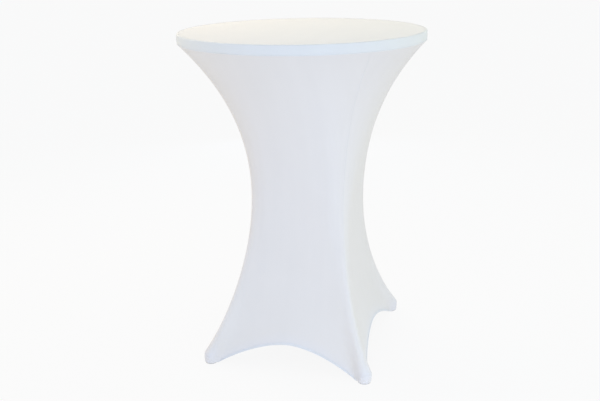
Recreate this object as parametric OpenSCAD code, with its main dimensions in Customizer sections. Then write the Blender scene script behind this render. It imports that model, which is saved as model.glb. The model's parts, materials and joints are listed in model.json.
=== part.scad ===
// Round high table in a fitted stretch cover: a pedestal table with a four-arm base and
// levelling glides, under an elastic cloth that runs from the table top to four foot pockets.
// The origin is on the floor under the middle of the column, and +Z points up.
// The feet stand on the diagonals of X and Y.

/* [Table top] */
// Height of the table top's upper face above the floor
top_z = 1100; // [1060:1:1150]
// Diameter of the table top, edge band included
top_d = 800; // [780:1:820]
// Thickness of the table top board
board_t = 28; // [22:1:30]
// Thickness of the plastic band round the board's edge
edge_t = 2; // [1:0.5:3]

/* [Pedestal] */
// Outer diameter of the column tube
column_d = 60; // [50:1:70]
// Wall of the column tube
column_wall = 2; // [1.5:0.5:4]
// Width of a base arm
arm_w = 34; // [30:1:36]
// Height of a base arm
arm_h = 18; // [16:1:18]
// Wall of a base arm's tube
arm_wall = 2; // [1.5:0.5:3]
// Reach of a mounting spider's arm under the table top
spider_r = 210; // [150:5:260]

/* [Levelling glides] */
// Distance of each foot from the column's axis
foot_r = 379; // [376:1:382]
// Radius of a glide's plastic pad
pad_r = 18; // [15:0.5:18]
// Radius of a glide's threaded stem
stem_r = 4.95; // [3.95:0.05:4.95]
// How far a glide screws out
glide_travel = 10; // [4:1:10]

/* [Cover] */
// Thickness of the stretched cloth
cloth_t = 1; // [0.8:0.1:1.2]
// Radius of the table top's upper edge under the cloth
rim_round = 2; // [1:0.5:3]
// Half width of a foot pocket, outside
pocket_r = 22.7; // [22.5:0.1:24]
// Length of a pocket's straight sides behind its round front
pocket_back = 14.5; // [12:0.5:16]
// Height of a foot pocket at its front
pocket_h = 37; // [37:0.5:42]
// Distance of the hem from the column's axis at the middle of an arch
arch_r = 245; // [235:1:255]
// Height of the hem at the middle of an arch
arch_z = 85.5; // [75:0.5:95]
// Pull of the cloth towards the waist below the table top
top_pull = 2.98; // [2.8:0.01:3.2]
// Pull of the cloth towards the waist above the feet
foot_pull = 1.86; // [1.7:0.01:2]
// Depth of a finished hem
hem_w = 12; // [8:1:16]
// Width of the tape behind a panel seam
seam_w = 8; // [6:1:12]

/* [Hidden] */
$fn = 64;

// foot 1 is at the front right, and the numbers run counter-clockwise seen from above
foot_turns = [-45, 45, 135, 225];
cloth_gap = 0.3;      // between the cloth and what it is stretched over
piece_gap = 0.3;      // between neighbouring pieces of the cover
arc_slack = 0.03;     // extra round the table top's upper edge
thread_gap = 0.05;    // round a threaded part
slip_gap = 0.1;       // round a part that slides in by hand
loose_gap = 0.3;      // round a screw in a plate
cut = 1;              // how far a bore is cut past its faces
sole_t = 2;           // doubled cloth under a glide
big_fn = 180;         // smoothness of the round table top

// heights of the glide and the arm end
pad_t = 8;
pad_chamfer = 2;
neck_r = 9;
neck_top = sole_t + 12;
socket_z = sole_t + 4;
collar_z = neck_top + 0.4;
collar_t = 4.6;
arm_z = collar_z + collar_t + 0.6;
insert_t = 12;
insert_r = 8;
stem_grip = 8;
stem_top = arm_z + glide_travel + stem_grip;
boss_r = 18.5;
stem_floor = 0.3;
hex_r = 9.8;

// heights of the pedestal
hub_r = 45;
hub_wall = 4;
arm_start = 42;
hub_block_h = 28;
hub_top = 104;
hub_floor_t = 6;
board_z = top_z - board_t;
spider_t = 5;
spider_w = 46;
plate_r = 70;
socket_r = 36;
socket_len = 60;
column_z = arm_z + hub_floor_t;
column_top = board_z - spider_t - 1;
rod_r = 5;
rod_z = 4;
washer_r = 14;
washer_t = 2;
nut_h = 9;
screw_r = 2.5;
screw_len = 16;
screw_head_r = 5;
screw_head_h = 3;
screw_spots = [90, 190];

// outer radius of the cover round the table top, and where the skirt starts
rim_r = top_d / 2 + cloth_gap + cloth_t;
skirt_top_z = board_z - 1.5;
skirt_top_r = rim_r - 0.5;
thread_r = 0.45;
seam_line_r = top_d / 2 - rim_round - 0.6;

// ---- lower edge of the cover, seen from one foot: share runs from 0 at the foot's middle
// line to 1 at the middle of the arch. The first stretch wraps the foot's round front and
// short sides, and the rest is the hem's arch.
foot_share = 0.274;
hem_end_z = 3;
arch_bow = 2.25;      // how early the arch swings inwards
arch_rise = 1.66;     // how early the arch rises
wrap_drop = 2.46;     // how late a pocket's upper edge drops towards its back
front_len = 90 * PI / 180 * pocket_r;
wrap_len = front_len + pocket_back;
diag = sqrt(0.5);
corner_out = (foot_r - pocket_back + pocket_r) * diag;
corner_along = (pocket_r - foot_r + pocket_back) * diag;

function ease(t) = t * t * (3 - 2 * t);
function wrap_point(t, grow = 0) =
    let (run = t * wrap_len, turn = 90 * min(run / front_len, 1), r = pocket_r + grow)
    [foot_r + r * cos(turn) - max(run - front_len, 0), r * sin(turn),
        pocket_h + (hem_end_z - pocket_h) * ease(pow(t, wrap_drop))];
function arch_point(t) =
    let (q = 1 - t, out = arch_r + (corner_out - arch_r) * pow(q, arch_bow),
        along = corner_along * q)
    [(out - along) * diag, (out + along) * diag,
        arch_z + (hem_end_z - arch_z) * pow(q, arch_rise)];
function edge_point(share) =
    share <= foot_share ? wrap_point(share / foot_share)
        : arch_point((share - foot_share) / (1 - foot_share));

// ---- the skirt between the rim's circle and that edge: a net in tension, written as waves
// round the table that each fade with height at their own rate. What the waves leave out of
// the edge fades quickest, so the lowest row is the edge itself.
waves = 12;
samples = 80;
lobe_fade = 0.583;
lobe_power = 1.114;
rise_fade = 0.212;
edge_fade = 32.3;
sag = 0.054;
sample_shares = [for (i = [0:samples - 1]) (i + 0.5) / samples];
edge = [for (share = sample_shares) edge_point(share)];
edge_x = [for (p = edge) p[0]];
edge_y = [for (p = edge) p[1]];
edge_z = [for (p = edge) p[2]];
function smoothing(m) = m == 0 ? 1 : let (a = 180 * m / (waves + 1)) sin(a) / (a * PI / 180);
function sinh(x) = (exp(x) - exp(-x)) / 2;
function fade(rate, v) = sinh(rate * v) / sinh(rate);
turns_k = [for (m = [-waves:waves]) 1 + 4 * m];
plan_rate = [for (k = turns_k) k == 1 ? foot_pull : lobe_fade * pow(abs(k), lobe_power)];
plan_wave = [for (m = [-waves:waves])
    let (k = 1 + 4 * m,
        c = [for (share = sample_shares) cos(k * 45 * share)],
        s = [for (share = sample_shares) sin(k * 45 * share)])
    smoothing(abs(m)) * (edge_x * c + edge_y * s) / samples];
rise_k = [for (m = [1:waves]) 4 * m];
rise_rate = [for (k = rise_k) rise_fade * pow(k, lobe_power)];
rise_wave = [for (m = [1:waves])
    2 * smoothing(m) * (edge_z * [for (share = sample_shares) cos(4 * m * 45 * share)]) / samples];
mean_z = edge_z * [for (share = sample_shares) 1] / samples;

function wave_row(v, angles) =
    let (plan = [for (i = [0:len(turns_k) - 1]) plan_wave[i] * fade(plan_rate[i], v)],
        rise = [for (i = [0:waves - 1]) rise_wave[i] * fade(rise_rate[i], v)],
        top = skirt_top_r * fade(top_pull, 1 - v),
        z = skirt_top_z + (mean_z - skirt_top_z) * (v + sag * v * (1 - v)))
    [for (a = angles) [
        plan * [for (k = turns_k) cos(k * a)] + top * cos(a),
        plan * [for (k = turns_k) sin(k * a)] + top * sin(a),
        z + rise * [for (k = rise_k) cos(k * a)]]];

// the edge at an angle from foot 1's own line: 0 to 90 runs from that foot to the next
function edge_at(a) =
    a < 0 ? let (p = edge_at(-a)) [p[0], -p[1], p[2]]
        : a > 45 ? let (p = edge_at(90 - a)) [p[1], p[0], p[2]]
        : edge_point(a / 45);
function skirt_row(v, angles) =
    let (row = wave_row(v, angles), low = wave_row(1, angles), hold = fade(edge_fade, v))
    [for (j = [0:len(angles) - 1]) row[j] + hold * (edge_at(angles[j]) - low[j])];

// points of a grid moved inwards along its own surface normal
function unit(p) = p / norm(p);
function grid_normal(g, i, j) =
    let (down = g[min(i + 1, len(g) - 1)][j] - g[max(i - 1, 0)][j],
        across = g[i][min(j + 1, len(g[0]) - 1)] - g[i][max(j - 1, 0)])
    unit(cross(down, across));
function grid_in(g, depth) =
    [for (i = [0:len(g) - 1]) [for (j = [0:len(g[0]) - 1]) g[i][j] - depth * grid_normal(g, i, j)]];

// ---- closed solid between an outer grid and an inner grid of points
module sheet_solid(outer, inner) {
    rows = len(outer);
    cols = len(outer[0]);
    far = rows * cols;
    points = concat([for (row = outer) each row], [for (row = inner) each row]);
    skin = [for (i = [0:rows - 2]) for (j = [0:cols - 2])
        let (a = i * cols + j) each [[a, a + 1, a + cols + 1], [a, a + cols + 1, a + cols]]];
    back = [for (f = skin) [f[2] + far, f[1] + far, f[0] + far]];
    low = (rows - 1) * cols;
    ends = [for (j = [0:cols - 2]) each [
        [j + 1, j, far + j], [j + 1, far + j, far + j + 1],
        [low + j, low + j + 1, far + low + j + 1], [low + j, far + low + j + 1, far + low + j]]];
    sides = [for (i = [0:rows - 2]) let (a = i * cols, b = a + cols - 1) each [
        [a, a + cols, far + a + cols], [a, far + a + cols, far + a],
        [b + cols, b, far + b], [b + cols, far + b, far + b + cols]]];
    polyhedron(points = points, faces = concat(skin, back, ends, sides));
}

// ---- table
module at_foot(i) {
    rotate([0, 0, foot_turns[i]]) translate([foot_r, 0, 0]) children();
}
module tube(z, h, r_out, r_in) {
    translate([0, 0, z]) difference() {
        cylinder(h = h, r = r_out);
        translate([0, 0, -cut]) cylinder(h = h + 2 * cut, r = r_in);
    }
}
module at_screws() {
    for (turn = foot_turns) for (spot = screw_spots)
        rotate([0, 0, turn]) translate([spot, 0, 0]) children();
}
module tabletop_board() {
    color("burlywood") difference() {
        translate([0, 0, board_z]) cylinder(h = board_t, r = top_d / 2 - edge_t, $fn = big_fn);
        translate([0, 0, board_z - cut]) at_screws()
            cylinder(h = screw_len + 2 * cut, r = screw_r + slip_gap);
    }
}
module edge_band() {
    inner_r = top_d / 2 - edge_t;
    color("dimgray") rotate_extrude($fn = big_fn) union() {
        translate([inner_r, board_z]) square([edge_t, board_t - rim_round]);
        translate([top_d / 2 - rim_round, top_z - rim_round]) intersection() {
            circle(r = rim_round);
            square(rim_round);
        }
    }
}
module mounting_spider() {
    color("dimgray") difference() {
        union() {
            translate([0, 0, board_z - spider_t]) cylinder(h = spider_t, r = plate_r);
            for (turn = foot_turns) rotate([0, 0, turn])
                translate([0, -spider_w / 2, board_z - spider_t]) cube([spider_r, spider_w, spider_t]);
            translate([0, 0, board_z - spider_t - socket_len]) cylinder(h = socket_len, r = socket_r);
        }
        translate([0, 0, board_z - spider_t - socket_len - cut])
            cylinder(h = socket_len + cut, r = column_d / 2 + slip_gap);
        translate([0, 0, board_z - spider_t - cut]) at_screws()
            cylinder(h = spider_t + 2 * cut, r = screw_r + loose_gap);
        translate([0, 0, board_z - spider_t - cut]) cylinder(h = spider_t + 2 * cut, r = rod_r + slip_gap);
    }
}
module spider_screws() {
    color("silver") at_screws() union() {
        translate([0, 0, board_z - spider_t - screw_head_h]) cylinder(h = screw_head_h, r = screw_head_r);
        translate([0, 0, board_z - spider_t]) cylinder(h = spider_t + screw_len, r = screw_r);
    }
}
module column_tube() {
    color("dimgray") tube(column_z, column_top - column_z, column_d / 2, column_d / 2 - column_wall);
}
module tie_rod() {
    color("silver") translate([0, 0, rod_z]) cylinder(h = board_z - rod_z - 1, r = rod_r);
}
module tie_rod_washer() {
    color("silver") tube(arm_z - washer_t, washer_t, washer_r, rod_r + 2 * slip_gap);
}
module tie_rod_nut() {
    color("silver") translate([0, 0, arm_z - washer_t - nut_h]) difference() {
        cylinder(h = nut_h, r = hex_r, $fn = 6);
        translate([0, 0, -cut]) cylinder(h = nut_h + 2 * cut, r = rod_r + slip_gap);
    }
}
module base_hub() {
    color("dimgray") difference() {
        union() {
            translate([0, 0, arm_z]) cylinder(h = hub_block_h, r = hub_r);
            translate([0, 0, arm_z])
                cylinder(h = hub_top - arm_z, r = column_d / 2 + slip_gap + hub_wall);
        }
        translate([0, 0, column_z]) cylinder(h = hub_top, r = column_d / 2 + slip_gap);
        translate([0, 0, arm_z - cut]) cylinder(h = hub_floor_t + 2 * cut, r = rod_r + 2 * slip_gap);
        for (turn = foot_turns) rotate([0, 0, turn])
            translate([arm_start, -arm_w / 2, arm_z - cut]) cube([hub_r, arm_w, arm_h + cut]);
    }
}
module base_arm(i) {
    hollow = foot_r - boss_r - arm_start - arm_wall;
    color("dimgray") rotate([0, 0, foot_turns[i]]) difference() {
        union() {
            translate([arm_start, -arm_w / 2, arm_z]) cube([foot_r - arm_start, arm_w, arm_h]);
            translate([foot_r, 0, arm_z]) cylinder(h = arm_h, r = boss_r);
        }
        translate([arm_start + arm_wall, arm_wall - arm_w / 2, arm_z + arm_wall])
            cube([hollow, arm_w - 2 * arm_wall, arm_h - 2 * arm_wall]);
        translate([foot_r, 0, arm_z - cut]) cylinder(h = insert_t + cut, r = insert_r + thread_gap);
        translate([foot_r, 0, arm_z]) cylinder(h = arm_h + cut, r = stem_r + 1);
    }
}
module glide_inserts() {
    color("silver") for (i = [0:3]) at_foot(i) tube(arm_z, insert_t, insert_r, stem_r + thread_gap);
}
module glide_stem(i) {
    color("silver") at_foot(i) union() {
        translate([0, 0, socket_z + stem_floor]) cylinder(h = stem_top - socket_z - stem_floor, r = stem_r);
        translate([0, 0, collar_z]) cylinder(h = collar_t, r = hex_r, $fn = 6);
    }
}
module glide_pad(i) {
    color("black") at_foot(i) difference() {
        union() {
            translate([0, 0, sole_t]) cylinder(h = pad_t - pad_chamfer, r = pad_r);
            translate([0, 0, sole_t + pad_t - pad_chamfer])
                cylinder(h = pad_chamfer, r1 = pad_r, r2 = pad_r - pad_chamfer);
            translate([0, 0, sole_t]) cylinder(h = neck_top - sole_t, r = neck_r);
        }
        translate([0, 0, socket_z]) cylinder(h = neck_top, r = stem_r + thread_gap);
    }
}

// ---- cover
module top_panel() {
    color("ghostwhite") translate([0, 0, top_z])
        cylinder(h = cloth_t, r = seam_line_r - thread_r - 0.15, $fn = big_fn);
}
function bend_arc(r, turns) =
    [for (a = turns) [top_d / 2 - rim_round + r * sin(a), top_z - rim_round - cloth_gap + r * cos(a)]];
module rim_band() {
    bend_r = rim_round + cloth_gap;
    steps = [0:15:90];
    outer = bend_arc(bend_r + cloth_t, steps);
    inner = bend_arc(bend_r + arc_slack, [for (a = steps) 90 - a]);
    color("ghostwhite") rotate_extrude($fn = big_fn)
        polygon(concat(outer, [[rim_r, board_z], [rim_r - cloth_t, board_z]], inner));
}
module top_rim_seam() {
    color("gainsboro") rotate_extrude($fn = big_fn)
        translate([seam_line_r, top_z + cloth_t / 2]) circle(r = thread_r, $fn = 16);
}
module lower_rim_seam() {
    color("gainsboro") rotate_extrude($fn = big_fn)
        translate([rim_r - cloth_t / 2, (board_z + skirt_top_z) / 2]) circle(r = thread_r, $fn = 16);
}

panel_cols = 28;
panel_rows = 18;
seam_half = 0.06;     // degrees left free beside a panel seam
function crowd(t) = t - 0.6 * sin(360 * t) / (2 * PI);
panel_angles = [for (j = [0:panel_cols]) seam_half + (90 - 2 * seam_half) * crowd(j / panel_cols)];
function row_height(i) = 1 - pow(1 - i / panel_rows, 1.7);
panel_grid = [for (i = [0:panel_rows]) skirt_row(row_height(i), panel_angles)];
module skirt_panel(turn) {
    color("white") rotate([0, 0, turn]) sheet_solid(panel_grid, grid_in(panel_grid, cloth_t));
}

tape_rows = 20;
tape_first = 0.01;
tape_share = 0.92;
function tape_across(row) =
    let (middle = row[1], side = unit(row[2] - row[0]) * seam_w / 2)
    [middle - side, middle, middle + side];
tape_grid = [for (i = [0:tape_rows])
    tape_across(skirt_row(tape_first + tape_share * i / tape_rows, [-1, 0, 1]))];
tape_depth = cloth_t + 4 * piece_gap;
module seam_tape(i) {
    color("gainsboro") rotate([0, 0, foot_turns[i]])
        sheet_solid(grid_in(tape_grid, tape_depth), grid_in(tape_grid, tape_depth + cloth_t));
}

hem_cols = 24;
hem_first = 45 * foot_share + 2;
hem_angles = [for (j = [0:hem_cols]) hem_first + (90 - 2 * hem_first) * j / hem_cols];
hem_grid = [for (v = [1 - hem_w / (top_z - arch_z), 1]) skirt_row(v, hem_angles)];
module hem(turn) {
    color("gainsboro") rotate([0, 0, turn])
        sheet_solid(grid_in(hem_grid, cloth_t + piece_gap), grid_in(hem_grid, 2 * cloth_t + piece_gap));
}

pocket_cols = 22;
pocket_share = 0.93;
pocket_gap = 0.6;     // below the skirt's lower edge
pocket_z = sole_t + 0.4;
pocket_min = 0.8;     // least height of the pocket's wall, at its back
function pocket_column(t, grow) =
    let (p = wrap_point(abs(t), grow), y = t < 0 ? -p[1] : p[1],
        top = max(p[2] - pocket_gap, pocket_z + pocket_min))
    [[p[0], y, top], [p[0], y, (top + pocket_z) / 2], [p[0], y, pocket_z]];
function pocket_grid(grow) =
    let (columns = [for (j = [0:pocket_cols]) pocket_column(pocket_share * (2 * j / pocket_cols - 1), grow)])
    [for (i = [0:2]) [for (column = columns) column[i]]];
module foot_pocket(i) {
    color("white") rotate([0, 0, foot_turns[i]]) sheet_solid(pocket_grid(0), pocket_grid(-cloth_t));
}
module pocket_sole(i) {
    r = pocket_r - cloth_t - piece_gap;
    color("gainsboro") at_foot(i) linear_extrude(height = sole_t) union() {
        circle(r = r);
        translate([-pocket_back, -r]) square([pocket_back, 2 * r]);
    }
}

tabletop_board();
edge_band();
mounting_spider();
spider_screws();
column_tube();
tie_rod();
tie_rod_washer();
tie_rod_nut();
base_hub();
base_arm(0);  // base_arm_1
base_arm(1);  // base_arm_2
base_arm(2);  // base_arm_3
base_arm(3);  // base_arm_4
glide_inserts();
glide_stem(0);  // glide_stem_1
glide_stem(1);  // glide_stem_2
glide_stem(2);  // glide_stem_3
glide_stem(3);  // glide_stem_4
glide_pad(0);  // glide_pad_1
glide_pad(1);  // glide_pad_2
glide_pad(2);  // glide_pad_3
glide_pad(3);  // glide_pad_4
top_panel();
rim_band();
top_rim_seam();
lower_rim_seam();
skirt_panel(foot_turns[3]);  // skirt_panel_front
skirt_panel(foot_turns[0]);  // skirt_panel_right
skirt_panel(foot_turns[1]);  // skirt_panel_back
skirt_panel(foot_turns[2]);  // skirt_panel_left
seam_tape(0);  // seam_tape_1
seam_tape(1);  // seam_tape_2
seam_tape(2);  // seam_tape_3
seam_tape(3);  // seam_tape_4
hem(foot_turns[3]);  // hem_front
hem(foot_turns[0]);  // hem_right
hem(foot_turns[1]);  // hem_back
hem(foot_turns[2]);  // hem_left
foot_pocket(0);  // foot_pocket_1
foot_pocket(1);  // foot_pocket_2
foot_pocket(2);  // foot_pocket_3
foot_pocket(3);  // foot_pocket_4
pocket_sole(0);  // pocket_sole_1
pocket_sole(1);  // pocket_sole_2
pocket_sole(2);  // pocket_sole_3
pocket_sole(3);  // pocket_sole_4
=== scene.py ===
"""Looks for the fitted stretch cover on its round high table.

The cover is one net in tension: a circle round the table top, a lower edge with four arches and
four foot pockets, and waves between them that fade with height. The same formula as in the CAD
gives the cloth's middle shape here, at a finer pitch, and the sewn detail is added to it.
"""
import json
import math

import bpy
import numpy as np
from mathutils import Matrix, Vector

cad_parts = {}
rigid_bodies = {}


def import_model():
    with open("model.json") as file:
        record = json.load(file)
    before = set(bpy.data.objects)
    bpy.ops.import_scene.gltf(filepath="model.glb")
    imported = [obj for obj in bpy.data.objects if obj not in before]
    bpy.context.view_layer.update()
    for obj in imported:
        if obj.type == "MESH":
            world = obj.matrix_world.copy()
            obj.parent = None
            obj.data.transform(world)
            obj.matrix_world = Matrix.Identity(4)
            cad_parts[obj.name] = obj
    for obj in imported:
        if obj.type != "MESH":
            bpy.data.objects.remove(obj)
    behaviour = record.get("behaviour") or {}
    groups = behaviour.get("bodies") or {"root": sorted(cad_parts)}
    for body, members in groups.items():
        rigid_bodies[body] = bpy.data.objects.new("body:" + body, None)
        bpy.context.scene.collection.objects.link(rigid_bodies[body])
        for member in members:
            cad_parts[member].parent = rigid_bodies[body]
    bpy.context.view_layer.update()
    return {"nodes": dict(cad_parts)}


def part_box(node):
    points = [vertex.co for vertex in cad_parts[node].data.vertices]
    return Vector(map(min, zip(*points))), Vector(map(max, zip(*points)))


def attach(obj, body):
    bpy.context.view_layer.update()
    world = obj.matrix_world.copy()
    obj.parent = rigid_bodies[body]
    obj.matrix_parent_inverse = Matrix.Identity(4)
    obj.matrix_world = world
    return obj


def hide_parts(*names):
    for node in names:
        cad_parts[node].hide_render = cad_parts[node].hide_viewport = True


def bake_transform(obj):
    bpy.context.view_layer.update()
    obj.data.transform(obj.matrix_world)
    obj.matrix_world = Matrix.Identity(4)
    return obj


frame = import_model()

# ---------------------------------------------------------------- sizes, in metres
FEET = (1, 2, 3, 4)
FOOT_TURNS = {1: -45.0, 2: 45.0, 3: 135.0, 4: 225.0}
PANELS = {"front": 4, "right": 1, "back": 2, "left": 3}      # side: the foot that its panel starts at

top_low, top_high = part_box("top_panel")
_, band_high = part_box("rim_band")
sole_low, sole_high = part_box("pocket_sole_1")
board_low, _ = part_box("tabletop_board")
_, edge_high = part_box("edge_band")
pad_low, pad_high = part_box("glide_pad_1")

TOP_Z = top_low.z                                # the board's upper face
BOARD_Z = board_low.z                            # the board's underside
TABLE_R = edge_high.x
RIM_R = band_high.x
RIM_ROUND = 0.002                                # rounding of the edge band's upper corner
CLOTH_T = top_high.z - top_low.z
SOLE_T = sole_high.z - sole_low.z
FOOT_R = math.hypot((pad_low.x + pad_high.x) / 2, (pad_low.y + pad_high.y) / 2)

POCKET_R = 0.0227                                # half width of a foot pocket
POCKET_BACK = 0.0145                             # its straight sides behind the round front
POCKET_H = 0.037                                 # its height in front
HEM_END_Z = 0.003                                # height of the hem at a pocket's back corners
ARCH_R = 0.245                                   # the middle of an arch, from the axis
ARCH_Z = 0.0855                                  # and its height
FOOT_SHARE = 0.274                               # the pocket's part of the way from foot to arch
ARCH_BOW = 2.25                                  # how late the hem bows out towards the pocket
ARCH_RISE = 1.66                                 # and how late it comes down to it
WRAP_DROP = 2.46                                 # how late the pocket's upper edge drops
TOP_PULL = 2.98                                  # how fast the rim's circle fades, going down
FOOT_PULL = 1.86                                 # how fast the feet's pull fades, going up
LOBE_FADE = 0.583                                # and the waves of the edge, each by its number
LOBE_POWER = 1.114
RISE_FADE = 0.212                                # the same for the edge's ups and downs
EDGE_FADE = 32.3                                 # what the waves miss stays this near the edge
SAG = 0.054                                      # rows hang this much lower than even ones
WAVES = 12                                       # waves that stand for the edge
SAMPLES = 160                                    # points of the edge that they are taken from
SKIRT_TOP_Z = BOARD_Z - 0.0015
SKIRT_TOP_R = RIM_R - 0.0005

HEM_W = 0.012                                    # the hem's inner face
HEM_FACE = 0.0085                                # its outer face, folded round the edge
HEM_COOL_LIGHT_H = 0.05                                # painted cool light: the cloth's colour turns a little bluer this close to the hem
CORNER_TOP = (0.338, 0.108)                      # a corner piece starts at this radius and height,
CORNER_END = (0.379, 0.012)                      # on a plane that faces this point

# the cover sits a little off its middle line, pulled towards one side at the waist
PULL_TURN = math.radians(15.6)
PULL_WAIST = 0.0165
PULL_SKEW = 0.0055

# ---------------------------------------------------------------- the cloth's formula


def ease(t):
    """Smooth step from 0 to 1."""
    return t * t * (3 - 2 * t)


def wrap_place(t):
    """A place on a foot pocket's plan: its turn round the front, and its way along a side."""
    front = math.pi / 2 * POCKET_R
    run = t * (front + POCKET_BACK)
    return np.minimum(run / POCKET_R, math.pi / 2), np.maximum(run - front, 0)


def wrap_point(t):
    """Upper edge of a foot pocket, t from 0 at its front to 1 at its back corner."""
    turn, past = wrap_place(t)
    z = POCKET_H + (HEM_END_Z - POCKET_H) * ease(t ** WRAP_DROP)
    return np.stack([FOOT_R + POCKET_R * np.cos(turn) - past, POCKET_R * np.sin(turn), z], -1)


def arch_point(t):
    """Hem from a pocket's back corner, t 0, to the middle of the arch, t 1."""
    diag = math.sqrt(0.5)
    corner_out = (FOOT_R - POCKET_BACK + POCKET_R) * diag
    corner_along = (POCKET_R - FOOT_R + POCKET_BACK) * diag
    q = 1 - t
    out = ARCH_R + (corner_out - ARCH_R) * q ** ARCH_BOW
    along = corner_along * q
    z = ARCH_Z + (HEM_END_Z - ARCH_Z) * q ** ARCH_RISE
    return np.stack([(out - along) * diag, (out + along) * diag, z], -1)


def edge_at(angles):
    """Lower edge of the cover at angles from a foot's line, in degrees from -90 to 90."""
    a = np.abs(np.asarray(angles, float))
    far = a > 45
    share = np.where(far, 90 - a, a) / 45
    wrap = wrap_point(np.clip(share / FOOT_SHARE, 0, 1))
    arch = arch_point(np.clip((share - FOOT_SHARE) / (1 - FOOT_SHARE), 0, 1))
    p = np.where((share <= FOOT_SHARE)[:, None], wrap, arch)
    p = np.where(far[:, None], p[:, [1, 0, 2]], p)
    p[:, 1] *= np.where(np.asarray(angles) < 0, -1, 1)
    return p


def fade(rate, v):
    """Falls off from 1 at v 1 to 0 at v 0, the faster the higher the rate."""
    return np.sinh(rate * v) / np.sinh(rate)


def edge_waves():
    """The lower edge as waves round the table: plan coefficients and height coefficients."""
    share = (np.arange(SAMPLES) + 0.5) / SAMPLES
    edge = edge_at(45 * share)
    turn = np.radians(45 * share)[:, None]
    m = np.arange(-WAVES, WAVES + 1)
    smooth = np.sinc(m / (WAVES + 1))
    k = 1 + 4 * m
    plan = smooth * (edge[:, :1] * np.cos(k * turn) + edge[:, 1:2] * np.sin(k * turn)).mean(0)
    n = np.arange(1, WAVES + 1)
    rise = 2 * np.sinc(n / (WAVES + 1)) * (edge[:, 2:] * np.cos(4 * n * turn)).mean(0)
    return k, plan, 4 * n, rise, edge[:, 2].mean()


PLAN_K, PLAN, RISE_K, RISE, MEAN_Z = edge_waves()
PLAN_RATE = np.where(PLAN_K == 1, FOOT_PULL, LOBE_FADE * np.abs(PLAN_K) ** LOBE_POWER)
RISE_RATE = RISE_FADE * RISE_K ** LOBE_POWER


def wave_points(v, angles):
    """The waves' part of the skirt: all of it except the last of the edge's detail."""
    v = np.asarray(v, float)[:, None, None]
    turn = np.radians(angles)[None, :, None]
    plan = PLAN * fade(PLAN_RATE, v)
    top = SKIRT_TOP_R * fade(TOP_PULL, 1 - v[..., 0])
    x = (plan * np.cos(PLAN_K * turn)).sum(-1) + top * np.cos(turn[..., 0])
    y = (plan * np.sin(PLAN_K * turn)).sum(-1) + top * np.sin(turn[..., 0])
    v1 = v[..., 0]
    z = SKIRT_TOP_Z + (MEAN_Z - SKIRT_TOP_Z) * (v1 + SAG * v1 * (1 - v1))
    z = z + (RISE * fade(RISE_RATE, v) * np.cos(RISE_K * turn)).sum(-1)
    return np.stack([x, y, z], -1)


def skirt_points(v, angles):
    """Points of the skirt for heights v (0 at the rim, 1 at the edge) and angles from a foot."""
    v = np.asarray(v, float)
    row = wave_points(v, angles)
    low = wave_points([1.0], angles)[0]
    return row + fade(EDGE_FADE, v)[:, None, None] * (edge_at(angles) - low)


def turned(points, degrees):
    """Points turned about the vertical axis."""
    c, s = math.cos(math.radians(degrees)), math.sin(math.radians(degrees))
    return points @ np.array([[c, s, 0], [-s, c, 0], [0, 0, 1]])


def pulled(points):
    """Shifts the cloth sideways between rim and floor, as it sits on the real table."""
    v = np.clip((SKIRT_TOP_Z - points[..., 2]) / SKIRT_TOP_Z, 0, 1)
    shift = PULL_WAIST * np.sin(math.pi * v) + PULL_SKEW * np.sin(2 * math.pi * v)
    side = np.array([math.cos(PULL_TURN), math.sin(PULL_TURN), 0.0])
    return points + shift[..., None] * side


def placed(points, foot):
    """Points in a foot's own frame, put where the cover has them."""
    return pulled(turned(points, FOOT_TURNS[foot]))


def unit(vectors):
    """The same directions at length 1."""
    return vectors / np.maximum(np.linalg.norm(vectors, axis=-1, keepdims=True), 1e-12)


def normals(grid):
    """Unit normals of a grid of points, rows running down and columns counter-clockwise."""
    return unit(np.cross(np.gradient(grid, axis=0), np.gradient(grid, axis=1)))


def lengths(grid, axis):
    """Running length along an axis of a grid of points."""
    step = np.linalg.norm(np.diff(grid, axis=axis), axis=-1)
    run = np.cumsum(step, axis=axis)
    return np.insert(run, 0, 0, axis=axis)


# ---------------------------------------------------------------- meshes
ROLL_STEPS = 4                                   # steps round the raw edge of a piece of cloth


def make_mesh(name, points, faces, uvs=None, given=None):
    """Smooth mesh from points and faces, with cloth coordinates and normals where they are given."""
    mesh = bpy.data.meshes.new(name)
    mesh.from_pydata(points.reshape(-1, 3).tolist(), [], [list(face) for face in faces])
    if uvs is not None:
        layer = mesh.uv_layers.new(name="cloth")
        corner = np.empty(len(mesh.loops), np.int32)
        mesh.loops.foreach_get("vertex_index", corner)
        layer.data.foreach_set("uv", uvs.reshape(-1, 2)[corner].astype(np.float32).ravel())
    mesh.polygons.foreach_set("use_smooth", [True] * len(mesh.polygons))
    mesh.update()
    if given is not None:
        mesh.normals_split_custom_set_from_vertices(given.reshape(-1, 3).tolist())
    obj = bpy.data.objects.new(name, mesh)
    bpy.context.scene.collection.objects.link(obj)
    return obj


def grid_quads(rows, cols, wrap_rows=False, wrap_cols=False):
    """Quads between the points of a grid, joined end to end where it wraps."""
    i = np.arange(rows if wrap_rows else rows - 1)
    j = np.arange(cols if wrap_cols else cols - 1)
    i, j = (x.ravel() for x in np.meshgrid(i, j, indexing="ij"))
    i2, j2 = (i + 1) % rows, (j + 1) % cols
    return np.stack([i * cols + j, i2 * cols + j, i2 * cols + j2, i * cols + j2], -1)


def capped_quads(rows, cols):
    """Quads round a shape whose first and last rows are rings, and a face to close each ring."""
    last = (rows - 1) * cols
    caps = [list(range(cols)), list(range(last, last + cols))[::-1]]
    return grid_quads(rows, cols, wrap_cols=True).tolist() + caps


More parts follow.
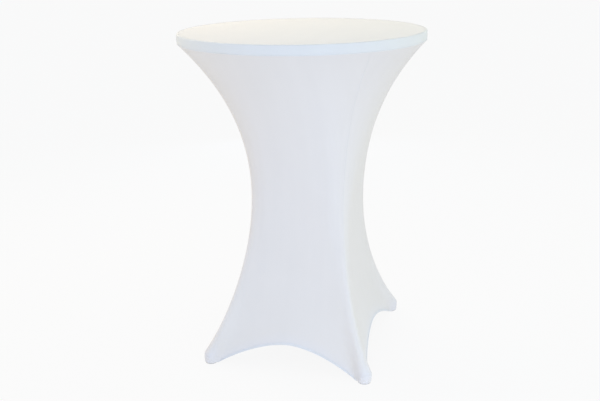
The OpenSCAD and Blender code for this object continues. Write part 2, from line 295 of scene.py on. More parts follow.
def section_mesh(name, sections, uvs, given=None):
    """Closed solid whose rows run round a cross-section and whose columns run along it."""
    rows, cols = sections.shape[:2]
    a = np.arange(rows // 2 - 1)
    b = rows - 1 - a
    first = np.stack([a, b, b - 1, a + 1], -1) * cols
    last = np.stack([a + 1, b - 1, b, a], -1) * cols + cols - 1
    quads = np.concatenate([grid_quads(rows, cols, wrap_rows=True), first, last])
    return make_mesh(name, sections, quads.tolist(), uvs, given=given)


def rolled_edge(n, down, steps):
    """Directions that turn from a face's normals, down round its lower edge, to the other face."""
    turn = np.linspace(0, math.pi, steps + 2)[1:-1]
    return np.array([math.cos(a) * n + math.sin(a) * down for a in turn])


def cloth_section(outer, thickness, n=None):
    """Outer grid, a rolled lower edge and the inner grid as one section, for section_mesh."""
    n = normals(outer) if n is None else n
    inner = outer - n * thickness
    middle = (outer[-1] + inner[-1]) / 2
    roll = middle + thickness / 2 * rolled_edge(n[-1], unit(outer[-1] - outer[-2]), ROLL_STEPS)
    return np.concatenate([outer, roll, inner[::-1]])


def cloth_uv(outer):
    """Metric cloth coordinates of a grid: across along a row, down along a column."""
    across = lengths(outer, 1)
    across = across - across[:, -1:] / 2
    return np.stack([across, -lengths(outer, 0)], -1)


def section_normals(n, sections):
    """Normals that match section_mesh's rows: outwards, round the edge, inwards."""
    rows = n.shape[0]
    down = unit(sections[rows - 1] - sections[rows - 2])
    return np.concatenate([n, rolled_edge(n[-1], down, ROLL_STEPS), -n[::-1]])


def section_uvs(outer, uv=None):
    """Cloth coordinates that match section_mesh's rows, the same on both faces."""
    uv = cloth_uv(outer) if uv is None else uv
    return np.concatenate([uv, np.repeat(uv[-1:], ROLL_STEPS, 0), uv[::-1]])


# ---------------------------------------------------------------- skirt panels
PANEL_COLS = 132
BODY_ROWS = 120
CORNER_ROWS = 40
CROWD_SEAM = 0.93                                # how strongly columns crowd towards the seams
CROWD_EDGE = 1.5                                 # and rows towards the lower edge
CUT_FROM_V = 0.6                                 # corners start lower than this
V_STEPS = 160
SEAM_PUFF, SEAM_PUFF_W = 0.0002, 0.006           # the cloth swells this much beside a seam
SEAM_GROOVE, SEAM_GROOVE_W = 0.00035, 0.0009     # and dips this much at it
RIM_FLAT = 0.012                                 # folds come up over this length below the rim
BANDS, BAND_DEPTH = 6, 0.00022                   # shallow bands down a panel
BAND_FREQ = (9, 30)
FAN_DEPTH = 0.0006                               # folds that fan up from a foot
FAN_ANGLE, FAN_OPENING = 2.5, 42                 # their spread at the foot, and its growth
FAN_DECAY = 1.6
FAN_START, FAN_REACH = 0.04, 0.3                 # where they begin, and how far up they go
PANEL_SEEDS = {"front": 11, "right": 12, "back": 13, "left": 14}


def crowd(t, share):
    """Even steps from 0 to 1, crowded towards both ends."""
    return t - share * np.sin(2 * math.pi * t) / (2 * math.pi)


PANEL_ANGLES = 90 * crowd(np.linspace(0, 1, PANEL_COLS + 1), CROWD_SEAM)


def below_cut(points):
    """How far points, in a foot's own frame, are past the plane where its corner starts."""
    drop = (CORNER_END[0] - CORNER_TOP[0], CORNER_END[1] - CORNER_TOP[1])
    return (points[..., 0] - CORNER_TOP[0]) * drop[0] + (points[..., 2] - CORNER_TOP[1]) * drop[1]


def cut_heights():
    """For each column of a panel, the v at which it enters its foot's corner, or 1 at the arch."""
    v = np.linspace(CUT_FROM_V, 1, V_STEPS)
    grid = skirt_points(v, np.minimum(PANEL_ANGLES, 90 - PANEL_ANGLES))
    past = below_cut(grid)
    cut = np.ones(len(PANEL_ANGLES))
    for j in range(len(cut)):
        if past[-1, j] > 0:
            cut[j] = np.interp(0, past[:, j], v)
    return cut


CUT_V = cut_heights()
CORNER_COLS = int(np.argmax(CUT_V >= 1))         # columns from a seam to the end of its corner


def panel_rows():
    """The v of every point: the body's rows down to the cut, then the corner's down to the edge."""
    body = 1 - (1 - np.linspace(0, 1, BODY_ROWS + 1)) ** CROWD_EDGE
    corner = np.linspace(0, 1, CORNER_ROWS + 1)[1:]
    return np.concatenate([body[:, None] * CUT_V, CUT_V + corner[:, None] * (1 - CUT_V)])


PANEL_V = panel_rows()


def skirt_grid(v, angles):
    """skirt_points for a v that changes from point to point."""
    out = np.empty((*v.shape, 3))
    for j, angle in enumerate(angles):
        out[:, j] = skirt_points(v[:, j], np.array([angle]))[:, 0]
    return out


PLAIN_PANEL = skirt_grid(PANEL_V, PANEL_ANGLES)


def bump_profile(distance, width):
    """1 at no distance, fading over a width."""
    return np.exp(-(distance / width) ** 2)


def tension_folds(v, angles, seed):
    """Shallow bands that run straight down the cloth, and folds that fan up from each foot."""
    draw = np.random.default_rng(seed)
    a = np.radians(angles)[None, :]
    bands = np.zeros_like(v)
    for _ in range(BANDS):
        freq, phase = draw.uniform(*BAND_FREQ), draw.uniform(0, 2 * math.pi)
        bands += np.sin(freq * a * 2 + phase) / freq ** 0.5
    bands *= BAND_DEPTH * np.sin(math.pi * np.clip(v, 0, 1)) ** 0.7
    fan = np.zeros_like(v)
    for from_foot in (angles[None, :], 90 - angles[None, :]):
        spread = from_foot / (FAN_ANGLE + FAN_OPENING * (1 - v) ** 0.8)
        fan += FAN_DEPTH * np.cos(3 * math.pi * spread) * np.exp(-FAN_DECAY * spread)
    return bands + fan * np.clip((1 - v) / FAN_START, 0, 1) * bump_profile(1 - v, FAN_REACH)


def panel_outer(side):
    """Outer face of one panel in its first foot's frame: cloth, soft seam lines and tension."""
    grid = PLAIN_PANEL
    across = lengths(grid, 1)
    to_seam = np.minimum(across, across[:, -1:] - across)
    shift = tension_folds(PANEL_V, PANEL_ANGLES, PANEL_SEEDS[side])
    shift += SEAM_PUFF * bump_profile(to_seam, SEAM_PUFF_W)
    shift -= SEAM_GROOVE * bump_profile(to_seam, SEAM_GROOVE_W)
    shift *= ease(np.clip(lengths(grid, 0) / RIM_FLAT, 0, 1))
    return grid + normals(grid) * shift[..., None]


def cloth_piece(name, outer, n, uv, hem_cool_light):
    """Cloth solid from its outer face, with how near each point is to the hem, for the painted cool light
    there.
    """
    sections = cloth_section(outer, CLOTH_T, n)
    obj = section_mesh(name, sections, section_uvs(outer, uv), section_normals(n, sections))
    layer = obj.data.attributes.new("hem_cool_light", "FLOAT", "POINT")
    layer.data.foreach_set("value", section_uvs(outer, hem_cool_light).astype(np.float32).ravel())
    return obj


def next_foot(foot):
    """The foot at the other end of the panel that starts at this one."""
    return foot % 4 + 1


def skirt_panel(side):
    """A panel's body and the two corners in which it ends, cut from one grid."""
    foot = PANELS[side]
    outer = placed(panel_outer(side), foot)
    n, uv = normals(outer), cloth_uv(outer)
    run = lengths(outer, 0)
    # painted cool light: the share of the bluer colour, rising towards the hem
    near = np.clip(1 - (run[-1] - run) / HEM_COOL_LIGHT_H, 0, 1) ** 1.5

    def cut(name, rows, columns):
        part = (rows, columns)
        return cloth_piece(name, outer[part], n[part], uv[part], near[part])

    body = cut(f"skirt_{side}", slice(0, BODY_ROWS + 1), slice(None))
    ends = {foot: slice(0, CORNER_COLS + 1), next_foot(foot): slice(-CORNER_COLS - 1, None)}
    corners = {key: cut(f"corner_{side}_{key}", slice(BODY_ROWS, None), columns)
               for key, columns in ends.items()}
    return body, corners


def follow_glide(obj, mat):
    """A piece between the arm's end and the foot's glide, given its material, with its place baked into its
    points.
    """
    dress(obj, mat)
    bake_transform(obj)
    return obj


# ---------------------------------------------------------------- foot pockets
POCKET_COLS, POCKET_ROWS = 72, 26
POCKET_LOW_Z = 0.0006                            # the wall ends this far over the floor
POCKET_SWELL = 0.0012
POCKET_TUCK, TUCK_H = 0.0045, 0.0055             # it turns in under the sole, over this height
POCKET_CREASE = 0.00035
POCKET_EASE = 0.45                               # its normals run on from the leg's down to here
SOLE_GAP = 0.0003                                # between the sole and the pocket's wall
SOLE_ROUND = 0.001                               # rounding of the sole's rim
SOLE_MIDDLE = (0.02, 0.02, 1)                    # its faces close on a small ring of this share


def pocket_outward(t):
    """Outward directions along the pocket's plan, t from -1 to 1 round its front."""
    turn, _ = wrap_place(np.abs(t))
    return np.stack([np.cos(turn), np.sign(t) * np.sin(turn), np.zeros_like(t)], -1)


def pocket(foot):
    """Cloth bag round a glide: its wall runs on from the leg above and tucks in under the sole."""
    t = np.linspace(-1, 1, POCKET_COLS + 1)
    s = np.linspace(0, 1, POCKET_ROWS + 1)[:, None]
    angles = 45 * FOOT_SHARE * t
    leg = skirt_points([0.996, 1.0], angles)
    height = np.maximum(leg[1, :, 2] - POCKET_LOW_Z, 0.0008)
    z = leg[1, :, 2] - s * height
    swell = POCKET_SWELL * np.sin(math.pi * s ** 0.8) * np.clip(height / POCKET_H, 0, 1)
    tuck = POCKET_TUCK * np.clip(1 - (z - POCKET_LOW_Z) / TUCK_H, 0, 1) ** 2
    crease = POCKET_CREASE * np.sin(1.08 * angles + 1.3) * bump_profile(s - 0.25, 0.2)
    outer = np.broadcast_to(leg[1], (*z.shape, 3)).copy()
    outer[..., 2] = z
    outer = placed(outer + (swell - tuck + crease)[..., None] * pocket_outward(t), foot)
    keep = ease(np.clip(s / POCKET_EASE, 0, 1))[..., None]
    n = unit(normals(outer) * keep + normals(placed(leg, foot))[1] * (1 - keep))
    # the whole pocket takes the full painted cool light of the hem
    return cloth_piece(f"pocket_{foot}", outer, n, cloth_uv(outer), np.ones(z.shape))


def sole(foot):
    """Doubled patch under a foot: a plate with a round front, a flat back and a rounded rim."""
    ring, steps = 96, 7
    r = POCKET_R - CLOTH_T - SOLE_GAP
    turn = np.linspace(0, 2 * math.pi, ring, endpoint=False)
    plan = np.stack([np.maximum(r * np.cos(turn), -POCKET_BACK), r * np.sin(turn), 0 * turn], -1)
    rows = []
    for a in np.linspace(0, math.pi, steps):
        size = 1 - SOLE_ROUND * (1 - math.sin(a)) / r
        rows.append(plan * [size, size, 1] + [0, 0, SOLE_T / 2 * (1 + math.cos(a))])
    rows = [rows[0] * SOLE_MIDDLE] + rows + [rows[-1] * SOLE_MIDDLE]
    points = turned(np.array(rows) + [FOOT_R, 0, 0], FOOT_TURNS[foot])
    return make_mesh(f"sole_{foot}", points, capped_quads(len(rows), ring), points[..., :2].copy())


# ---------------------------------------------------------------- top panel and rim band
TOP_T = 0.0009                                   # just under the CAD's cloth, clear of the board
TOP_LOW_R = 0.002                                # the ring that closes the panel's middle
TOP_EDGE_DROP, TOP_EDGE_W = 0.0004, 0.004        # the panel dips this much towards its seam
TOP_PUCKER = 0.00012
TOP_SLACK = 0.00015
RIM_T = 0.9 * CLOTH_T
RIM_BOW = 0.0004                                 # the band stands out this much at half height
RIM_PUCKER = 0.00022


def revolve(profile, count):
    """A profile of radii and heights, turned round the axis."""
    turn = np.linspace(0, 2 * math.pi, count, endpoint=False)
    r, z = np.array(profile)[:, 0, None], np.array(profile)[:, 1, None]
    return np.stack([r * np.cos(turn), r * np.sin(turn), np.broadcast_to(z, (len(profile), count))], -1)


def top_cloth():
    """Round top panel, tight over the board, with small puckers at its seam."""
    count, rings = 288, 40
    edge_r = TABLE_R - RIM_ROUND - 0.0006
    radii = TOP_LOW_R + (edge_r - TOP_LOW_R) * np.linspace(0, 1, rings) ** 0.7
    top = TOP_Z + CLOTH_T
    dips = TOP_EDGE_DROP * np.maximum(0, (radii - edge_r + TOP_EDGE_W) / TOP_EDGE_W) ** 2
    upper = list(zip(radii, top - dips))
    lower = [(r, z - TOP_T) for r, z in upper[::-1]]
    grid = revolve(upper + [(edge_r + 0.0003, top - 0.0007)] + lower, count)
    turn = np.arctan2(grid[..., 1], grid[..., 0])
    radius = np.hypot(grid[..., 0], grid[..., 1])
    pucker = np.sin(150 * turn + 2 * np.sin(7 * turn)) * bump_profile(edge_r - radius, 0.009)
    slack = np.sin(5 * turn + 1) * np.sin(radius / TABLE_R * 5)
    slack *= np.clip(radius / (TABLE_R / 2), 0, 1) ** 3
    grid[..., 2] += TOP_PUCKER * pucker + TOP_SLACK * slack
    return make_mesh("top_cloth", grid, capped_quads(grid.shape[0], count), grid[..., :2].copy())


def rim_cloth():
    """Band over the table top's edge, from the upper seam to the lower one."""
    count = 360
    bend_r, bend_z = TABLE_R - RIM_ROUND, TOP_Z - RIM_ROUND - 0.0003
    reach = RIM_R - bend_r
    low_z = BOARD_Z - 0.0004
    outer = [(bend_r + reach * math.sin(a), bend_z + reach * math.cos(a))
             for a in np.linspace(0, math.pi / 2, 9)]
    outer += [(RIM_R + RIM_BOW * math.sin(math.pi * s), bend_z + (low_z - bend_z) * s)
              for s in np.linspace(0, 1, 14)[1:]]
    inner = [(r - RIM_T * (r - bend_r) / reach, z - RIM_T) if z > bend_z else (r - RIM_T, z)
             for r, z in outer[::-1]]
    grid = revolve(outer + inner, count)
    turn = np.arctan2(grid[..., 1], grid[..., 0])
    pucker = RIM_PUCKER * np.sin(120 * turn + 3 * np.sin(5 * turn))
    pucker *= bump_profile(grid[..., 2] - low_z, 0.006)
    grid[..., 0] += pucker * np.cos(turn)
    grid[..., 1] += pucker * np.sin(turn)
    quads = grid_quads(grid.shape[0], count, wrap_rows=True, wrap_cols=True)
    return make_mesh("rim_cloth", grid, quads.tolist(), np.stack([turn * RIM_R, grid[..., 2]], -1))


# ---------------------------------------------------------------- sewing
STITCH_PITCH, STITCH_LENGTH = 0.003, 0.0024
STITCH_GIRTH = ((-0.5, 0.05), (-0.42, 0.6), (-0.2, 1.0), (0.2, 1.0), (0.42, 0.6), (0.5, 0.05))
STITCH_DIP = 0.0003                              # a stitch's ends sink this far into the cloth
HEM_START = 45 * FOOT_SHARE - 0.3                # degrees from a foot at which the hem begins
HEM_ROWS = (0.0068, 0.0044)                      # distances of the stitch rows from the edge
HEM_COLS = 150
HEM_TAPER = 4                                    # degrees over which the hem runs out
HEM_T = 0.0005                                   # the folded layer of cloth
HEM_GROOVE, HEM_GROOVE_W = 0.00018, 0.0007
TAPE_W, TAPE_T = 0.008, 0.0008
SEAM_TOP_V, SEAM_LOW_V = 0.004, 0.996            # the ends of a panel seam's threads
SEAM_ROW = 0.002                                 # each row of thread lies this far from the join


def stitch_row(name, path, up, width=0.00045, height=0.0004):
    """A row of thread stitches along a path, each a small pointed capsule lying on the cloth."""
    run = lengths(path, 0)
    count = int(run[-1] / STITCH_PITCH)
    at = (np.arange(count) + 0.5) * STITCH_PITCH

    def along_run(where, values):
        return np.stack([np.interp(where, run, values[:, k]) for k in range(3)], -1)

    mid = along_run(at, path)
    lift = unit(along_run(at, up))
    ahead = unit(along_run(at + 0.001, path) - mid)
    side = np.cross(lift, ahead)
    turns = np.radians(np.arange(0, 360, 60))
    rings = []
    for along, girth in STITCH_GIRTH:
        dip = STITCH_DIP if abs(along) > 0.45 else 0
        rings.append(np.stack([mid + ahead * along * STITCH_LENGTH + side * (width * girth * math.cos(b))
                               + lift * (height * girth * math.sin(b) - dip) for b in turns], 1))
    points = np.stack(rings, 1).reshape(count, -1, 3)
    one = grid_quads(len(STITCH_GIRTH), len(turns), wrap_cols=True)[:, ::-1]
    quads = one[None] + (np.arange(count) * points.shape[1])[:, None, None]
    return make_mesh(name, points, quads.reshape(-1, 4).tolist())


def join(name, parts):
    """Several objects as one."""
    for o in bpy.context.view_layer.objects:
        o.select_set(False)
    for o in parts:
        o.select_set(True)
    bpy.context.view_layer.objects.active = parts[0]
    bpy.ops.object.join()
    parts[0].name = name
    parts[0].data.name = name
    return parts[0]


def below_arch(angles):
    """Points of the lower edge at angles along an arch, from one foot to the next."""
    return skirt_points([1.0], np.minimum(angles, 90 - angles))[0]


HEM_ANGLES = np.linspace(HEM_START, 90 - HEM_START, HEM_COLS + 1)
HEM_SPLIT = int(np.argmax(below_cut(below_arch(HEM_ANGLES)) <= 0))     # where it leaves a corner


def hem_lengths(foot):
    """The hem's three lengths: the foot that each follows, its first column and its last."""
    return ((foot, 0, HEM_SPLIT), (None, HEM_SPLIT, HEM_COLS - HEM_SPLIT),
            (next_foot(foot), HEM_COLS - HEM_SPLIT, HEM_COLS))


def hem_narrowing(angles):
    """The hem's width as a share: full along the arch, and running out at the foot pockets."""
    to_end = np.minimum(angles - HEM_START, 90 - HEM_START - angles)
    return np.clip(to_end / HEM_TAPER, 0.03, 1) ** 0.6


def edge_v(distance, angles):
    """The v at a distance up from the skirt's edge, narrowed as the hem is."""
    return 1 - distance * hem_narrowing(angles) / (SKIRT_TOP_Z - ARCH_Z)


def hem_strip(side):
    """Hem folded round a panel's lower edge: a narrow face outside, a wider one inside."""
    foot = PANELS[side]
    steps_out = np.linspace(HEM_FACE, 0, 11)[:, None]
    steps_in = np.linspace(0, HEM_W, 9)[1:, None]
    face, back = (skirt_grid(edge_v(steps, HEM_ANGLES), HEM_ANGLES) for steps in (steps_out, steps_in))
    n_face, n_back = normals(face), normals(back)
    taper = hem_narrowing(HEM_ANGLES)[None, :, None]
    swell = HEM_T * np.sin(np.linspace(0, 1, 11) * math.pi / 2)[:, None]
    groove = sum(HEM_GROOVE * bump_profile(steps_out - row, HEM_GROOVE_W) for row in HEM_ROWS)
    over = face + n_face * ((swell - groove)[..., None] * taper + 0.00003)
    fold = rolled_edge(n_face[-1], unit(face[-1] - face[-2]), 6)
    round_edge = face[-1] - n_face[-1] * (CLOTH_T / 2) + (CLOTH_T / 2 + 0.0006) * fold
    under = back + n_back * (CLOTH_T + 0.0001 + HEM_T * taper)      # its rows run upwards
    path = placed(np.concatenate([over, round_edge, under]), foot)
    n, uv = normals(path), cloth_uv(path)
    made = {}
    for key, first, last in hem_lengths(foot):
        columns = slice(first, last + 1)
        grid, gn, cloth = path[:, columns], n[:, columns], uv[:, columns]
        made[key] = section_mesh(f"hem_cloth_{side}_{key}" if key else f"hem_cloth_{side}",
                                 np.concatenate([grid, (grid - gn * HEM_T)[::-1]]),
                                 np.concatenate([cloth, cloth[::-1]]), np.concatenate([gn, -gn[::-1]]))
    return made


def hem_stitches(side):
    """Two rows of stitches on the hem's face, in the same three lengths as the hem."""
    foot = PANELS[side]
    made = {}
    for key, first, last in hem_lengths(foot):
        angles = np.linspace(HEM_ANGLES[first], HEM_ANGLES[last], 160)
        rows = []
        for inset in HEM_ROWS:
            v = edge_v(inset, angles)
            grid = skirt_grid(np.stack([v - 0.001, v, v + 0.001]), angles)
            n = normals(grid)[1]
            line = placed(grid[1] + n * 0.00036, foot)
            rows.append(stitch_row("hem_row", line, turned(n, FOOT_TURNS[foot])))
        made[key] = join(f"hem_stitches_{side}_{key or 'mid'}", rows)
    return made


def seam_line(v):
    """Points down the seam on a foot's line, with the directions across it and out of the cloth."""
    grid = skirt_points(v, np.array([-1.0, 0.0, 1.0]))
    return grid[:, 1], unit(grid[:, 2] - grid[:, 0]), normals(grid)[:, 1]


def seam_tape(foot):
    """Binding on the inside of the seam between two panels."""
    line, side, n = seam_line(np.linspace(SEAM_TOP_V, CUT_V[0] - 0.002, 120))
    offsets = np.linspace(-TAPE_W / 2, TAPE_W / 2, 7)[None, :, None]
    wide = placed(line[:, None] + offsets * side[:, None] - n[:, None] * (CLOTH_T * 2.2), foot)
    return section_mesh(f"tape_cloth_{foot}", cloth_section(wide, TAPE_T), section_uvs(wide))


def seam_stitches(foot, first, last, name):
    """Flat seam's two needle threads, one row on each side of the join."""
    middle, side, n = seam_line(np.linspace(first, last, 420))
    up = turned(n, FOOT_TURNS[foot])
    rows = []
    for offset in (-SEAM_ROW, SEAM_ROW):
        line = placed(middle + side * offset + n * 0.0003, foot)
        rows.append(stitch_row("seam_row", line, up, width=0.0003, height=0.00025))
    return join(name, rows)


def ring_stitches(name, radius, z, tilt):
    """Row of stitches round the table, lifted outwards at tilt 0 and upwards at a right angle."""
    turn = np.linspace(0, 2 * math.pi, 720)
    out, level = np.stack([np.cos(turn), np.sin(turn), 0 * turn], -1), np.array([0, 0, 1])
    return stitch_row(name, radius * out + z * level, math.cos(tilt) * out + math.sin(tilt) * level)


def seam_cord(name, radius, z, thick):
    """Rolled seam allowance between two pieces, with the ripple of its stitches."""
    count, sides = 480, 10
    turn = np.linspace(0, 2 * math.pi, count, endpoint=False)
    section = np.linspace(0, 2 * math.pi, sides, endpoint=False)[:, None]
    swell = thick * (1 + 0.12 * np.sin(turn * count / 4))
    r, height = radius + swell * np.cos(section), z + swell * np.sin(section)
    grid = np.stack([r * np.cos(turn), r * np.sin(turn), height], -1)
    quads = grid_quads(sides, count, wrap_rows=True, wrap_cols=True)[:, ::-1]
    uvs = np.stack([np.broadcast_to(turn * radius, height.shape), height], -1)
    return make_mesh(name, grid, quads.tolist(), uvs)


# ---------------------------------------------------------------- materials


def material(name):
    """A new material, its node tree, its shader and the object's own coordinates."""
    mat = bpy.data.materials.new(name)
    mat.use_nodes = True
    tree = mat.node_tree
    place = node(tree, "ShaderNodeTexCoord").outputs["Object"]
    return mat, tree, tree.nodes["Principled BSDF"], place


def node(tree, kind, **values):
    """A shader node with its sockets or settings given by name."""
    made = tree.nodes.new(kind)
    for key, value in values.items():
        if key in made.inputs:
            made.inputs[key].default_value = value
        else:
            setattr(made, key, value)
    return made


def feed(tree, sockets, values):
    """Gives each named or numbered socket its number, its colour or the output linked to it."""
    for key, value in values.items():
        if isinstance(value, (int, float)):
            sockets[key].default_value = value
        elif isinstance(value, tuple):
            sockets[key].default_value = (*value, 1)
        elif value is not None:
            tree.links.new(value, sockets[key])


def texture(tree, kind, vector, **values):
    """Outputs of a texture that is read at a vector."""
    made = node(tree, f"ShaderNodeTex{kind}", **values)
    tree.links.new(vector, made.inputs["Vector"])
    return made.outputs


def split(tree, vector):
    """A vector's three parts."""
    made = tree.nodes.new("ShaderNodeSeparateXYZ")
    tree.links.new(vector, made.inputs[0])
    return made.outputs


def math_node(tree, operation, *terms):
    made = node(tree, "ShaderNodeMath", operation=operation)
    feed(tree, made.inputs, dict(enumerate(terms)))
    return made.outputs[0]


def ramp(tree, factor, stops):
    """A colour ramp with its stops as place and colour."""
    made = tree.nodes.new("ShaderNodeValToRGB")
    tree.links.new(factor, made.inputs[0])
    elements = made.color_ramp.elements
    while len(elements) < len(stops):
        elements.new(0.5)
    for element, (place, colour) in zip(elements, stops):
        element.position = place
        element.color = (*colour, 1)
    return made.outputs[0]


def mix_colour(tree, factor, a, b, mode="MIX"):
    made = node(tree, "ShaderNodeMix", data_type="RGBA", blend_type=mode)
    feed(tree, made.inputs, {0: factor, 6: a, 7: b})
    return made.outputs[2]


def relief(tree, height, strength, distance, under=None):
    """Bump from a height, on top of another one's normal where that is given."""
    made = node(tree, "ShaderNodeBump", Strength=strength, Distance=distance)
    feed(tree, made.inputs, {"Height": height, "Normal": under})
    return made.outputs[0]


def scaled(colour, factor):
    return tuple(factor * c for c in colour)


SCUFF_H = 0.035                                  # the cloth is scuffed this far up from the floor
SCUFF = (0.52, 0.51, 0.49)
# painted cool light: how much bluer the cloth's colour turns at the hem
HEM_COOL_LIGHT = (0.975, 0.99, 1.035)


def scuffed(tree, place, colour):
    """A little of the floor's dirt in the knit, most of it lowest down."""
    low = math_node(tree, "SUBTRACT", 1.0, math_node(tree, "MULTIPLY", split(tree, place)[2], 1 / SCUFF_H))
    low = math_node(tree, "MULTIPLY", math_node(tree, "MAXIMUM", low, 0.0), 0.1)
    grain = texture(tree, "Noise", place, Scale=160.0, Detail=4.0, Roughness=0.6)[0]
    return mix_colour(tree, math_node(tree, "MULTIPLY", low, grain), colour, SCUFF)


def knit(name, base, shade, wale=0.0011, soiled=True):
    """Stretched elastane jersey: fine wales, tension streaks, faint shading, scuffed low down, and painted
    cool light near the hem.
    """
    mat, tree, shader, place = material(name)
    across, down, _ = split(tree, node(tree, "ShaderNodeUVMap", uv_map="cloth").outputs[0])
    wales = math_node(tree, "SINE", math_node(tree, "MULTIPLY", across, 2 * math.pi / wale))
    courses = math_node(tree, "SINE", math_node(tree, "MULTIPLY", down, 2 * math.pi / (wale * 0.8)))
    loops = math_node(tree, "ADD", wales, math_node(tree, "MULTIPLY", courses, 0.5))
    streak_at = tree.nodes.new("ShaderNodeCombineXYZ")
    feed(tree, streak_at.inputs, {0: math_node(tree, "MULTIPLY", across, 22.0),
                                  1: math_node(tree, "MULTIPLY", down, 1.6)})
    streaks = texture(tree, "Noise", streak_at.outputs[0], Scale=1.0, Detail=3.0, Roughness=0.45)[0]
    cloud = texture(tree, "Noise", place, Scale=7.0, Detail=2.0, Roughness=0.5)[0]
    tone = math_node(tree, "ADD", math_node(tree, "MULTIPLY", streaks, 0.6),
                     math_node(tree, "MULTIPLY", cloud, 0.4))
    colour = ramp(tree, tone, [(0.3, shade), (0.62, base)])
    fine = math_node(tree, "MULTIPLY_ADD", loops, 0.5, 0.5)
    colour = mix_colour(tree, math_node(tree, "MULTIPLY", fine, 0.05), colour, scaled(shade, 0.82))
    if soiled:
        colour = scuffed(tree, place, colour)
    # painted cool light: the colour is mixed towards a bluer copy near the hem
    hem_cool_light = node(tree, "ShaderNodeAttribute", attribute_name="hem_cool_light").outputs["Fac"]
    cool_lit_colour = tuple(c * k for c, k in zip(base, HEM_COOL_LIGHT))
    feed(tree, shader.inputs, {
        "Base Color": mix_colour(tree, hem_cool_light, colour, cool_lit_colour),
        "Roughness": math_node(tree, "MULTIPLY_ADD", streaks, 0.18, 0.66),
        "Sheen Weight": 0.04, "Sheen Roughness": 0.45, "Specular IOR Level": 0.2,
        "Normal": relief(tree, loops, 0.35, 0.00018, under=relief(tree, streaks, 0.5, 0.0006))})
    return mat


def thread(name, colour):
    """Twisted sewing thread."""
    mat, tree, shader, place = material(name)
    twist = texture(tree, "Wave", place, Scale=900.0, Distortion=1.5)[1]
    feed(tree, shader.inputs, {
        "Base Color": ramp(tree, twist, [(0.0, scaled(colour, 0.86)), (1.0, colour)]),
        "Roughness": 0.5, "Sheen Weight": 0.2, "Normal": relief(tree, twist, 0.4, 0.0001)})
    return mat


def powder_coat(name, colour):
    """Painted steel with a fine orange peel."""
    mat, tree, shader, place = material(name)
    peel = texture(tree, "Noise", place, Scale=900.0, Detail=2.0)[0]
    cloud = texture(tree, "Noise", place, Scale=9.0, Detail=5.0, Roughness=0.6)[0]
    feed(tree, shader.inputs, {
        "Base Color": ramp(tree, cloud, [(0.35, scaled(colour, 0.88)), (0.7, colour)]),
        "Roughness": math_node(tree, "MULTIPLY_ADD", cloud, 0.2, 0.36),
        "Normal": relief(tree, peel, 0.35, 0.0002)})
    return mat


def zinc(name):
    """Zinc-plated steel, unevenly bright."""
    mat, tree, shader, place = material(name)
    grain = texture(tree, "Noise", place, Scale=240.0, Detail=4.0, Roughness=0.7)[0]
    feed(tree, shader.inputs, {
        "Base Color": ramp(tree, grain, [(0.3, (0.55, 0.56, 0.58)), (0.7, (0.78, 0.79, 0.8))]),
        "Roughness": math_node(tree, "MULTIPLY_ADD", grain, 0.25, 0.22), "Metallic": 1.0})
    return mat


def nylon(name, colour):
    """Moulded plastic with a fine grain."""
    mat, tree, shader, place = material(name)
    grain = texture(tree, "Noise", place, Scale=500.0, Detail=3.0)[0]
    feed(tree, shader.inputs, {
        "Base Color": ramp(tree, grain, [(0.3, scaled(colour, 0.8)), (0.7, scaled(colour, 1.3))]),
        "Roughness": 0.48, "Normal": relief(tree, grain, 0.3, 0.0002)})
    return mat


def chipboard(name):
    """Pressed wood chips."""
    mat, tree, shader, place = material(name)
    chips = texture(tree, "Voronoi", place, Scale=210.0)
    fibre = texture(tree, "Noise", place, Scale=60.0, Detail=6.0, Roughness=0.7)[0]
    tone = ramp(tree, fibre, [(0.25, (0.42, 0.3, 0.18)), (0.75, (0.72, 0.58, 0.4))])
    feed(tree, shader.inputs, {
        "Base Color": mix_colour(tree, 0.35, tone, chips["Color"], "SOFT_LIGHT"),
        "Roughness": 0.8, "Normal": relief(tree, chips["Distance"], 0.4, 0.0004)})
    return mat


def dress(obj, mat):
    """Gives an object one material."""
    obj.data.materials.clear()
    obj.data.materials.append(mat)


CLOTH = knit("stretch_cloth", base=(0.687, 0.683, 0.676), shade=(0.671, 0.667, 0.661))
# painted cool light: a bluer copy of the same cloth, for the cool light on the rim band's upright face
RIM_COOL_LIT = knit("rim_cloth", base=(0.668, 0.7, 0.702), shade=(0.654, 0.686, 0.688))
# painted cool light: a bluer copy of the same cloth for the hem strip
HEM_COOL_LIT = knit("hem_cloth", base=(0.662, 0.69, 0.722), shade=(0.648, 0.676, 0.707), wale=0.0009)
TAPE = knit("seam_tape", base=(0.68, 0.68, 0.69), shade=(0.63, 0.63, 0.64), wale=0.0016, soiled=False)
SOLE = knit("sole_cloth", base=(0.64, 0.64, 0.64), shade=(0.56, 0.56, 0.56), wale=0.0018)
THREAD = thread("seam_thread", (0.74, 0.75, 0.76))
COAT = powder_coat("powder_coat", (0.60, 0.61, 0.62))
ZINC = zinc("zinc")
PAD = nylon("glide_nylon", (0.035, 0.035, 0.037))
EDGE = nylon("edge_plastic", (0.12, 0.12, 0.125))
BOARD = chipboard("board")

# ---------------------------------------------------------------- build the cover
UNDER_CLOTH = {"tabletop_board": BOARD, "edge_band": EDGE, "spider_screws": ZINC, "tie_rod": ZINC,
               "glide_inserts": ZINC, "glide_stem": ZINC, "glide_pad": PAD, "mounting_spider": COAT,
               "column_tube": COAT, "base_": COAT}

for name, obj in frame["nodes"].items():
    for start, mat in UNDER_CLOTH.items():
        if name.startswith(start):
            dress(obj, mat)


def put(obj, mat, body, slot, *nodes):
    """A piece that rides on one body, and the CAD nodes that it stands for."""
    dress(obj, mat)
    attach(obj, body)
    if nodes:
        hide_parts(*nodes)
    return obj


def put_thread(obj, *nodes):
    return put(obj, THREAD, "table", "seam_thread", *nodes)


